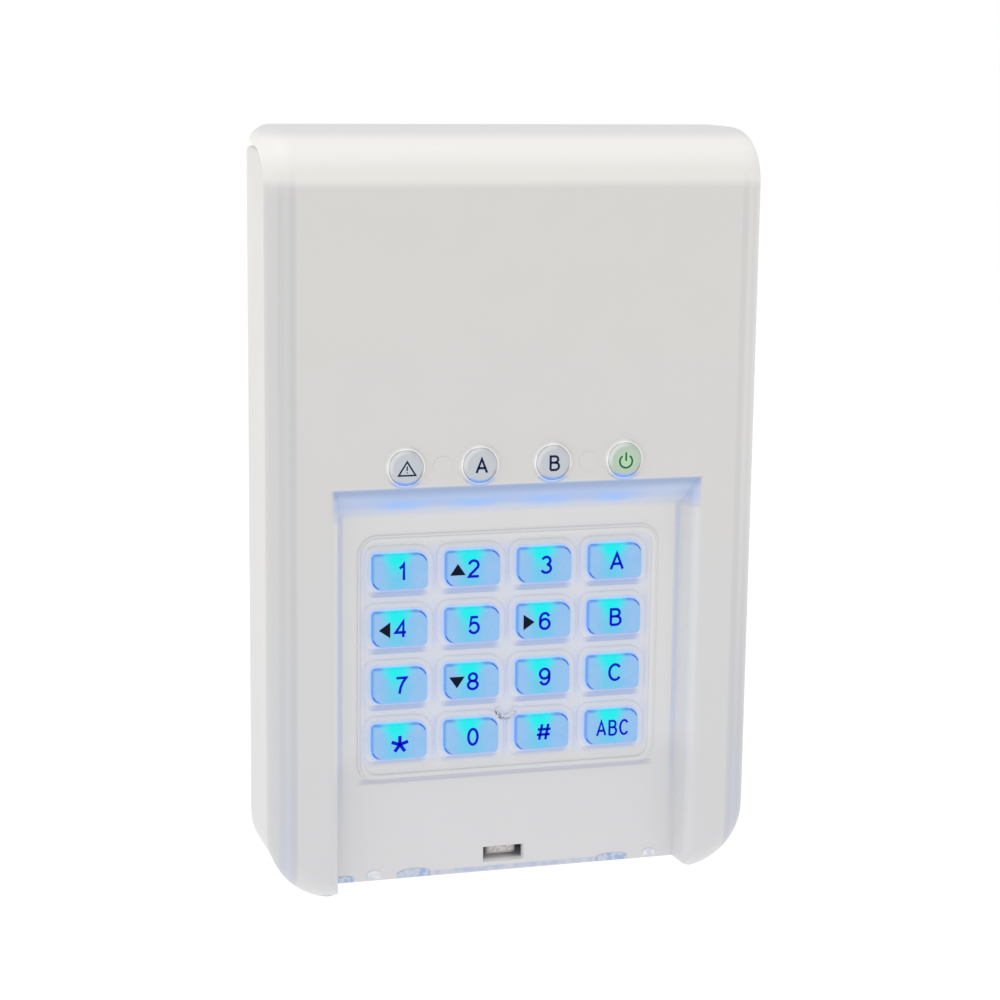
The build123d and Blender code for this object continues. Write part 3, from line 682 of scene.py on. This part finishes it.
def leaded(name, node, half):
    """A moulded black package whose legs, outside half across either way, are tinned."""
    graph = Graph(name)
    middle = centre(node)
    out = graph.most(graph.far(graph.x, middle.x), graph.far(graph.z, middle.z))
    legs = graph.ramp(out, half - 0.02, half + 0.02)
    plastic_tone = graph.mix(graph.noise(1.5), display(30, 30, 32), display(44, 44, 46))
    tone = graph.mix(legs, plastic_tone, (0.7, 0.7, 0.68))
    graph.put(graph.bsdf.inputs["Metallic"], legs)
    graph.bump(graph.noise(0.2), 0.008)
    return graph.finish(tone, graph.spread(legs, 0.6, 0.3))


def latch_material():
    """Latch lever: grey plastic, scuffed dark round its tip, with painted shade down both sides and a
    faint painted glow.
    """
    graph = Graph("latch_plastic")
    scuff = graph.ramp(graph.noise(0.7), 0.42, 0.6)
    # painted shade down both sides of the lever
    edge = graph.ramp(graph.far(graph.x, centre("latch_lever").x), 2.2, 3.3)
    scuffs_and_shade = graph.most(graph.times(scuff, 0.45), graph.times(edge, 0.8))
    tone = graph.mix(scuffs_and_shade, display(206, 202, 198), display(118, 110, 116))
    graph.bump(scuff, 0.05)
    # a faint painted glow of the lever's tone
    graph.put(graph.bsdf.inputs["Emission Color"], tone)
    return graph.finish(tone, graph.spread(scuff, 0.45, 0.7), Emission_Strength=0.2)


def clear_material():
    """Clear moulded tabs that show as pale and blue glints."""
    graph = Graph("clear_tab")
    cloud = graph.ramp(graph.noise(1.2), 0.35, 0.65)
    tone = graph.mix(cloud, display(238, 238, 240), display(206, 212, 226))
    graph.bump(graph.noise(0.7), 0.03)
    return graph.finish(tone, graph.spread(graph.noise(1.0), 0.12, 0.3), Specular_IOR_Level=0.7)


def window_material():
    """Clear plastic with the blue light behind it."""
    graph = Graph("clear_blue")
    cloud = graph.ramp(graph.noise(1.1), 0.4, 0.6)
    tone = graph.mix(cloud, display(158, 182, 224), display(200, 209, 228))
    graph.bump(graph.noise(0.8), 0.04)
    return graph.finish(tone, graph.spread(graph.noise(1.0), 0.12, 0.3), Specular_IOR_Level=0.7)


# ---- printed legends ----------------------------------------------------------------------------
# Each glyph is a few strokes on a grid one unit high; a stroke is a list of points.
def bow(middle_x, middle_y, radius_x, radius_y, start, stop, steps=18):
    """Points round an ellipse from one angle to another, in degrees."""
    points = []
    for step in range(steps + 1):
        angle = math.radians(start + (stop - start) * step / steps)
        points.append((middle_x + radius_x * math.cos(angle), middle_y + radius_y * math.sin(angle)))
    return points


def turned(strokes, width):
    """Strokes turned half round."""
    return [[(width - x, 1 - y) for x, y in stroke] for stroke in strokes]


def spoke(x, y, length, turn):
    """The outer end of a spoke that leaves (x, y) at an angle of turn degrees."""
    return x + length * math.cos(math.radians(turn)), y + length * math.sin(math.radians(turn))


SIX = [
    bow(0.29, 0.60, 0.27, 0.40, 28, 180) + [(0.02, 0.31)],
    bow(0.29, 0.31, 0.27, 0.31, 0, 360, 32),
]
GLYPHS = {
    "0": [bow(0.27, 0.5, 0.26, 0.5, 0, 360, 40)],
    "1": [[(0.10, 0.74), (0.24, 0.84), (0.34, 1.0), (0.34, 0.0)]],
    "2": [
        bow(0.27, 0.72, 0.26, 0.28, 170, -30)
        + [(0.30, 0.36), (0.10, 0.16), (0.01, 0.0), (0.56, 0.0)],
    ],
    "3": [
        bow(0.27, 0.755, 0.23, 0.245, 160, -80),
        bow(0.27, 0.265, 0.27, 0.265, 84, -160),
    ],
    "4": [[(0.43, 0.0), (0.43, 1.0), (0.0, 0.3), (0.58, 0.3)]],
    "5": [[(0.50, 1.0), (0.13, 1.0), (0.05, 0.5)] + bow(0.27, 0.325, 0.27, 0.325, 132, -160)],
    "6": SIX,
    "7": [[(0.0, 1.0), (0.55, 1.0), (0.36, 0.70), (0.24, 0.38), (0.18, 0.0)]],
    "8": [bow(0.27, 0.755, 0.22, 0.245, 0, 360, 32), bow(0.27, 0.265, 0.27, 0.265, 0, 360, 32)],
    "9": turned(SIX, 0.57),
    "A": [[(0.0, 0.0), (0.35, 1.0), (0.70, 0.0)], [(0.11, 0.34), (0.59, 0.34)]],
    "B": [
        [(0.05, 0.0), (0.05, 1.0), (0.34, 1.0)]
        + bow(0.34, 0.77, 0.22, 0.23, 80, -80)
        + [(0.34, 0.54), (0.05, 0.54)],
        [(0.34, 0.54)] + bow(0.36, 0.27, 0.26, 0.27, 80, -80) + [(0.34, 0.0), (0.05, 0.0)],
    ],
    "C": [bow(0.36, 0.5, 0.34, 0.5, 38, 322, 30)],
    "#": [
        [(0.14, 0.0), (0.30, 1.0)], [(0.50, 0.0), (0.66, 1.0)],
        [(0.0, 0.33), (0.76, 0.33)], [(0.05, 0.67), (0.80, 0.67)],
    ],
    "*": [[(0.3, 0.5), spoke(0.3, 0.5, 0.3, turn)] for turn in range(90, 450, 72)],
}
INK_THICKNESS = 0.03
MITRE_LIMIT = 0.4


def ribbon(mesh, points, width, depth):
    """A flat closed bar of that width along points, printed on a face that looks along -Y."""
    closed = math.dist(points[0], points[-1]) < 1e-6
    if closed:
        points = points[:-1]
    count = len(points)
    sides = []
    for index, point in enumerate(points):
        before = points[index - 1] if closed or index else None
        after = points[(index + 1) % count] if closed or index < count - 1 else None
        legs = []
        if before is not None:
            legs.append((Vector(point) - Vector(before)).normalized())
        if after is not None:
            legs.append((Vector(after) - Vector(point)).normalized())
        along = sum(legs, Vector((0, 0))).normalized()
        across = Vector((-along.y, along.x))
        straight = Vector((-legs[0].y, legs[0].x))
        reach = width / 2 / max(across.dot(straight), MITRE_LIMIT)
        sides.append((Vector(point) + across * reach, Vector(point) - across * reach))
    front = depth - INK_THICKNESS
    rings = []
    for left, right in sides:
        corners = ((left, depth), (right, depth), (right, front), (left, front))
        rings.append([mesh.verts.new(Vector((side.x, y, side.y)) * MM) for side, y in corners])
    last = count if closed else count - 1
    for index in range(last):
        here, there = rings[index], rings[(index + 1) % count]
        for side in range(4):
            other = (side + 1) % 4
            mesh.faces.new((here[side], here[other], there[other], there[side]))
    if not closed:
        mesh.faces.new(rings[0])
        mesh.faces.new(rings[-1][::-1])


def plate(mesh, points, depth, thickness):
    """A flat closed shape of that thickness on a face that looks along -Y."""
    back = [mesh.verts.new(Vector((x, depth, z)) * MM) for x, z in points]
    front = [mesh.verts.new(Vector((x, depth - thickness, z)) * MM) for x, z in points]
    mesh.faces.new(back)
    mesh.faces.new(front[::-1])
    for index in range(len(points)):
        after = (index + 1) % len(points)
        mesh.faces.new((back[index], front[index], front[after], back[after]))


def finished(name, mesh, material, body):
    """The mesh as a piece of that material, riding on body."""
    bmesh.ops.recalc_face_normals(mesh, faces=mesh.faces)
    data = bpy.data.meshes.new(name)
    mesh.to_mesh(data)
    mesh.free()
    data.materials.append(material)
    piece = bpy.data.objects.new(name, data)
    scene.collection.objects.link(piece)
    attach(piece, body)
    return piece


def write(mesh, text, x, z, height, stroke, depth, squeeze=1.0, gap=0.2):
    """Strokes for a line of text centred on (x, z), of that height over all."""
    scale = height - stroke
    widths = []
    for letter in text:
        reach = [point[0] for line in GLYPHS[letter] for point in line]
        widths.append((min(reach), max(reach)))
    total = sum(high - low for low, high in widths) + gap * (len(text) - 1)
    cursor = -total / 2
    for letter, (low, high) in zip(text, widths):
        for line in GLYPHS[letter]:
            placed = [
                (x + (cursor + px - low) * scale * squeeze, z + (py - 0.5) * scale)
                for px, py in line
            ]
            ribbon(mesh, placed, stroke, depth)
        cursor += high - low + gap


DIGIT_HEIGHT = 4.2
DIGIT_STROKE = 0.6
DIGIT_WIDEN = 1.12
ARROW_SHIFT = -3.5
ARROW_WIDE = 3.6
ARROW_DEEP = 2.6
LEGENDS = dict(zip(KEYS, "123A456B789C*0#"))
LEGENDS["key_abc"] = "ABC"
ARROWS = {"key_2": 0, "key_4": 90, "key_8": 180, "key_6": 270}


def print_keys():
    """A legend on each key, and a menu arrow beside four of them."""
    blue_ink = ink("legend_blue", display(0, 14, 160), (0.0, 0.0, 0.28))
    dark_ink = ink("legend_dark", display(10, 14, 40), (0.0, 0.0, 0.002))
    for name in KEYS:
        middle = centre(name)
        body = body_of(nodes[name])
        body = body[0] if isinstance(body, (list, tuple)) else body
        text = LEGENDS[name]
        x = middle.x + (0.2 if name in ARROWS else 0.35)
        mesh = bmesh.new()
        if name == "key_abc":
            narrow = {"squeeze": 0.86, "gap": 0.34}
            write(mesh, text, middle.x + 0.1, middle.z - 0.2, 3.8, 0.5, KEY_FACE, **narrow)
        elif name == "key_star":
            write(mesh, text, middle.x + 0.1, middle.z - 0.6, 7.4, 0.78, KEY_FACE)
        else:
            write(mesh, text, x, middle.z, DIGIT_HEIGHT, DIGIT_STROKE, KEY_FACE, squeeze=DIGIT_WIDEN)
        finished(name + "_legend", mesh, blue_ink, body)
        if name in ARROWS:
            angle = math.radians(ARROWS[name])
            half_wide, half_deep = ARROW_WIDE / 2, ARROW_DEEP / 2
            corners = []
            for px, pz in ((-half_wide, -half_deep), (half_wide, -half_deep), (0, half_deep)):
                turned_x = px * math.cos(angle) - pz * math.sin(angle)
                turned_z = px * math.sin(angle) + pz * math.cos(angle)
                corners.append((middle.x + ARROW_SHIFT + turned_x, middle.z - 0.1 + turned_z))
            mesh = bmesh.new()
            plate(mesh, corners, KEY_FACE, INK_THICKNESS)
            finished(name + "_arrow", mesh, dark_ink, body)


def print_lenses():
    """A warning triangle, two letters and a power mark on the lenses."""
    navy = ink("icon_navy", display(28, 36, 74), (0.0, 0.0, 0.0))
    green = ink("icon_green", display(36, 96, 66), (0.0, 0.004, 0.0))
    mesh = bmesh.new()
    middle = centre("lens_warning")
    x, z = middle.x, middle.z
    left, right, top = (x - 1.9, z - 1.5), (x + 1.9, z - 1.5), (x, z + 1.5)
    ribbon(mesh, [left, right, top, left], 0.36, ICON_BACK)
    ribbon(mesh, [(x, z + 0.5), (x, z - 0.45)], 0.3, ICON_BACK)
    ribbon(mesh, [(x, z - 0.75), (x, z - 1.0)], 0.3, ICON_BACK)
    finished("lens_warning_icon", mesh, navy, "front")
    for name, letter in (("lens_a", "A"), ("lens_b", "B")):
        mesh = bmesh.new()
        middle = centre(name)
        write(mesh, letter, middle.x + 0.1, middle.z, 3.55, 0.52, ICON_BACK, squeeze=1.12)
        finished(name + "_icon", mesh, navy, "front")
    mesh = bmesh.new()
    middle = centre("lens_power")
    x, z = middle.x, middle.z - 0.2
    ribbon(mesh, [(x + px, z + pz) for px, pz in bow(0, 0, 1.45, 1.45, 125, 415, 36)], 0.4, ICON_BACK)
    ribbon(mesh, [(x, z + 2.0), (x, z + 0.1)], 0.4, ICON_BACK)
    finished("lens_power_icon", mesh, green, "front")


# ---- clear tabs along the recess floor's lower edge ---------------------------------------------
def arched(x, z, width, height, depth, thickness, mesh):
    """A tab with an arched top that stands a little proud of the floor."""
    half = width / 2
    rise = height / 2
    points = [(x - half, z), (x + half, z)]
    points += [(x + half * px, z + rise + rise * pz) for px, pz in bow(0, 0, 1, 1, 0, 180, 12)]
    plate(mesh, points, depth, thickness)


def bottom_tabs():
    """Two clear tabs and three that show blue light, placed along the lower edge."""
    clear, window = clear_material(), window_material()
    for name, x, z, width, height, material in (
        ("left_tab", -31.5, -82.6, 3.2, 2.0, clear),
        ("right_tab", 34.2, -82.4, 3.0, 1.6, clear),
        ("left_window", -22.2, -82.8, 7.6, 1.9, window),
        ("right_window", 25.0, -82.9, 7.6, 1.7, window),
        ("corner_window", -38.2, -82.8, 4.2, 1.4, window),
    ):
        mesh = bmesh.new()
        arched(x, z, width, height, FLOOR, 0.16, mesh)
        piece = finished(name, mesh, material, "front")
        bevel = piece.modifiers.new("soft_edge", "BEVEL")
        bevel.width = 0.06 * MM
        bevel.segments = 2


# ---- the object ---------------------------------------------------------------------------------
make_camera()
make_studio()
dress(tray_material(), "rear_base")
dress(cover_material(), "front_cover")
dress(key_material(), *KEYS)
grey_lens = lens_material("lens_grey", display(196, 200, 206), display(192, 202, 210), 0.05)
green_lens = lens_material("lens_green", display(176, 192, 178), display(172, 212, 168), 0.12)
dress(grey_lens, *LENSES[:3])
dress(green_lens, LENSES[3])
dress(latch_material(), "latch_lever")
dress(plastic("silicone", display(206, 208, 210), 0.6, grain=0.9), "keypad_mat")
dress(plastic("carbon_rubber", display(34, 34, 36), 0.7), "contact_pads")
lit = {"Emission_Color": (0.1, 0.5, 1, 1), "Emission_Strength": 0.6}
dress(plastic("led_blue", display(170, 200, 250), 0.25, **lit), "key_leds")
dress(plastic("led_body", display(216, 228, 216), 0.2), "indicator_leds")
dress(plastic("white_plastic", display(226, 226, 222), 0.5), "led_shroud")
dress(board_material(), "circuit_board")
dress(steel("screw_steel"), "board_screws", "terminal_screws")
dress(plastic("terminal_green", display(46, 128, 84), 0.45), "terminal_block")
dress(plastic("black_plastic", display(34, 34, 36), 0.5), "sounder", "tamper_switch")
dress(plastic("plunger_white", display(224, 222, 214), 0.4), "tamper_plunger")
dress(leaded("chip_black", "controller_chip", CHIP_HALF), "controller_chip")
dress(leaded("regulator_black", "voltage_regulator", REGULATOR_HALF), "voltage_regulator")
dress(can_material(), "capacitors")
dress(steel("can_steel", (0.7, 0.7, 0.7), 0.25), "crystal")
dress(plastic("header_black", display(30, 30, 32), 0.5), "service_header")
print_keys()
print_lenses()
bottom_tabs()
